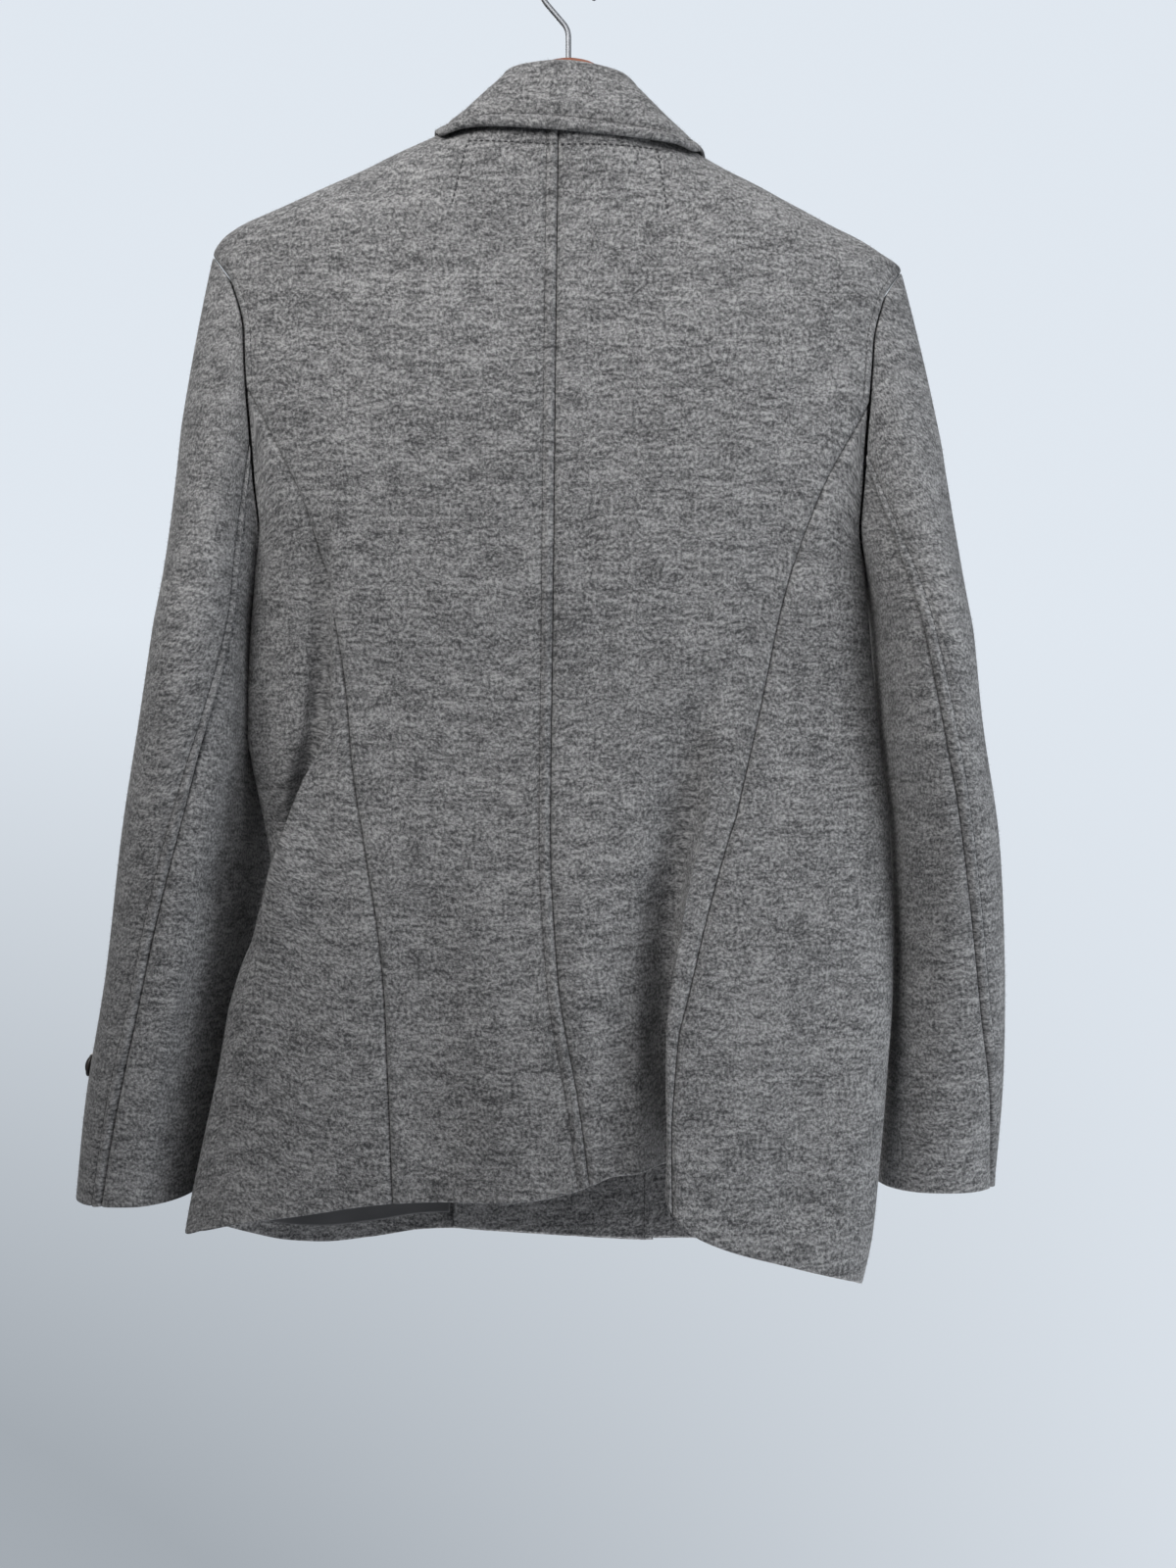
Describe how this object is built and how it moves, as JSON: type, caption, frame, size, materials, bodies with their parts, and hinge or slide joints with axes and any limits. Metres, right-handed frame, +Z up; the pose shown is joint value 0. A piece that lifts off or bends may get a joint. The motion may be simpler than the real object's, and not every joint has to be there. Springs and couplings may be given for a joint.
{
  "type": "military coat on a hanger",
  "caption": "Fitted hip-length double-breasted military coat in grey wool with a turned-down collar, hung by its shoulders from a wooden hanger with a wire hook.",
  "frame": {"origin": "the place inside the hook's crown where the hook bears on its rod", "axes": "+Z up, the coat's front faces -Y, the wearer's left is +X"},
  "size_m": [0.5966, 0.1647, 0.8338],
  "materials": {
    "wool": "boiled wool, grey melange, soft matt nap",
    "lining": "smooth grey lining with a low sheen",
    "button": "dark horn-like plastic, domed",
    "wood": "varnished reddish wood",
    "steel": "bright drawn wire"
  },
  "bodies": {
    "root": {"back_left": "wool", "back_right": "wool", "button_a1": "button", "button_a2": "button", "button_a3": "button", "button_a4": "button", "button_b1": "button", "button_b2": "button", "button_b3": "button", "button_b4": "button", "collar_fall": "wool", "collar_stand": "wool", "cuff_button_left": "button", "cuff_button_right": "button", "facing_left": "wool", "facing_right": "wool", "front_left": "wool", "front_right": "wool", "hanger_body": "wood", "hanger_hook": "steel", "lining_left": "lining", "lining_right": "lining", "side_back_left": "wool", "side_back_right": "wool", "sleeve_under_left": "wool", "sleeve_under_right": "wool", "sleeve_upper_left": "wool", "sleeve_upper_right": "wool"}
  },
  "joints": []
}
